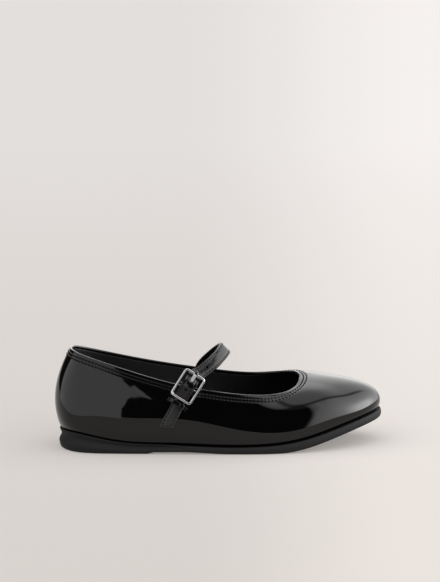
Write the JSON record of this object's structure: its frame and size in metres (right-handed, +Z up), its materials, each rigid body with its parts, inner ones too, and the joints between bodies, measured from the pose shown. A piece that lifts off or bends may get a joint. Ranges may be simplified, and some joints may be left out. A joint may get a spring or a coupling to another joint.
{
  "type": "mary jane shoe",
  "caption": "Child's low-cut shoe for the right foot, with a hollow patent upper, a moulded sole and one strap buckled across the instep.",
  "frame": {"origin": "middle of the shoe's outline, on the ground it stands on", "axes": "+X towards the toe, +Z up, -Y towards the outer side of the foot"},
  "size_m": [0.2068, 0.0744, 0.064],
  "materials": {
    "sole_rubber": "moulded, satin black",
    "patent_leather": "patent, high gloss black",
    "sock_leather": "smooth, matte black",
    "strap_leather": "patent, black, stitched edges",
    "buckle_metal": "nickel plated, polished"
  },
  "bodies": {
    "root": {"outsole": "sole_rubber", "upper": "patent_leather", "insole": "sock_leather", "strap": "strap_leather", "buckle_tab": "strap_leather", "keeper_loop": "strap_leather", "buckle_frame": "buckle_metal", "buckle_prong": "buckle_metal"}
  },
  "joints": []
}
